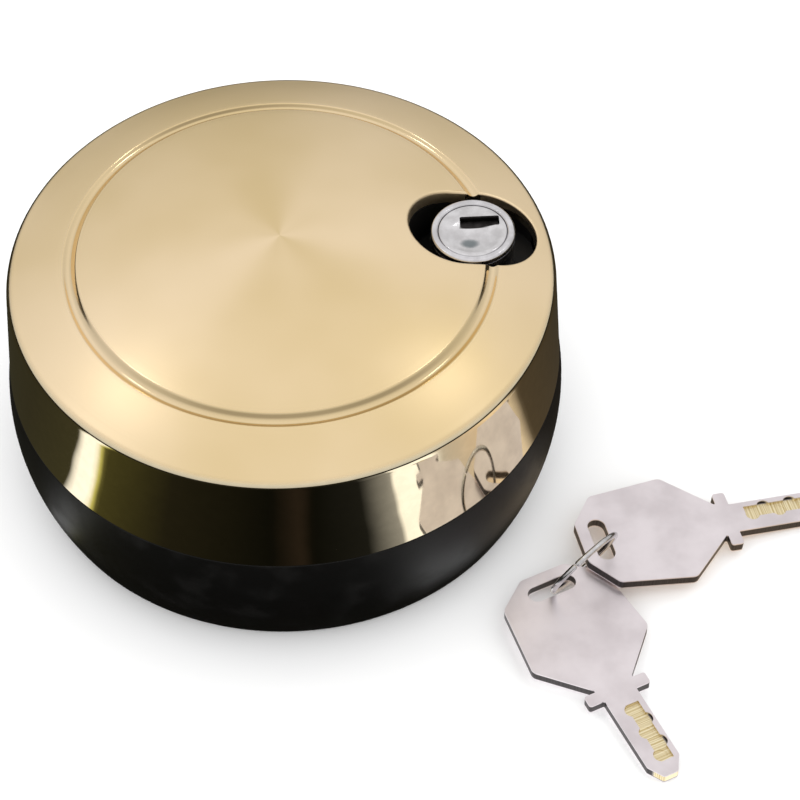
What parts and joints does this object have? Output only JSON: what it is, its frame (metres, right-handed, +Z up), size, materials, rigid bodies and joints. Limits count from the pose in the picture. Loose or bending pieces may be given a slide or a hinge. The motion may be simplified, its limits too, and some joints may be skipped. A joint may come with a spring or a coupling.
{
  "type": "lockable deck fill cap",
  "caption": "Lockable deck fill cap: crowned brass cover over a black skirt, screw cap inside with a key-driven bolt, offset lock, and two keys on a ring.",
  "frame": {"origin": "on the cap's axis, in the plane of the deck flange and the mouth of the threaded socket", "axes": "+Z up along the cap axis, away from the tank; +X towards the lock, which is 7.6 degrees round from it; +Y away from the keys"},
  "size_m": [0.1521, 0.1357, 0.0557],
  "materials": {
    "cover_brass": "turned satin top, polished band",
    "black_moulding": "fine satin",
    "cast_brass": "machined, unpolished",
    "stainless": "machined",
    "spring_steel": "plain",
    "seal_rubber": "matt",
    "nylon": "natural",
    "lock_metal": "satin chrome",
    "wafer_brass": "stamped",
    "key_nickel": "satin nickel",
    "ring_steel": "bright"
  },
  "bodies": {
    "cover": {"brass_cover": "cover_brass", "cover_screws": "stainless", "cover_seal": "seal_rubber", "skirt_base": "black_moulding", "hub_bush": "nylon", "thrust_washer": "nylon", "retaining_ring": "spring_steel", "lock_bracket": "stainless", "lock_barrel": "lock_metal", "lock_screws": "stainless", "lock_bezel": "lock_metal", "lock_shroud": "black_moulding", "barrel_seal": "seal_rubber"},
    "screw_cap": {"screw_cap": "cast_brass", "neck_gasket": "seal_rubber"},
    "lock_plug": {"lock_plug": "lock_metal", "wafer_tumblers": "wafer_brass", "wafer_springs": "spring_steel", "shutter_pin": "stainless", "shutter_spring": "spring_steel", "crank": "stainless", "drive_pin": "spring_steel", "crank_screw": "stainless"},
    "locking_bolt": {"locking_bolt": "cast_brass"},
    "keyway_shutter": {"keyway_shutter": "stainless"},
    "key_ring": {"key_ring": "ring_steel"},
    "key_a": {"key_a": "key_nickel"},
    "key_b": {"key_b": "key_nickel"}
  },
  "joints": [
    {"name": "screw_cap_turn", "type": "hinge", "parent": "cover", "child": "screw_cap", "pos_m": [0, 0, 0.016], "axis": [0, 0, 1], "continuous": true},
    {"name": "plug_turn", "type": "hinge", "parent": "cover", "child": "lock_plug", "pos_m": [0.03509, 0.00468, 0.04], "axis": [0, 0, -1], "range_deg": [0, 90]},
    {"name": "bolt_slide", "type": "slide", "parent": "cover", "child": "locking_bolt", "axis": [-0.9912, -0.1323, 0], "range_m": [0, 0.00594]},
    {"name": "keyway_shutter_swing", "type": "hinge", "parent": "lock_plug", "child": "keyway_shutter", "pos_m": [0.03509, 0.00533, 0.04791], "axis": [-1, 0, 0], "range_deg": [0, 90], "stiffness_Nm_per_rad": 0.000008, "springref_deg": -57.3},
    {"name": "key_set_lift", "type": "slide", "parent": "cover", "child": "key_ring", "axis": [0, 0, 1], "range_m": [0, 0.08]},
    {"name": "key_a_swing", "type": "hinge", "parent": "key_ring", "child": "key_a", "pos_m": [0.04773, -0.04249, 0.00265], "axis": [0.0149, -0.034, 0.9993], "range_deg": [-4, 10]},
    {"name": "key_b_swing", "type": "hinge", "parent": "key_ring", "child": "key_b", "pos_m": [0.05721, -0.03506, 0.00484], "axis": [0.0847, 0.018, 0.9962], "range_deg": [-20, 30]}
  ],
  "couplings": [
    {"joint": "plug_turn", "follows": "bolt_slide", "rad_per_m": 264.44}
  ]
}
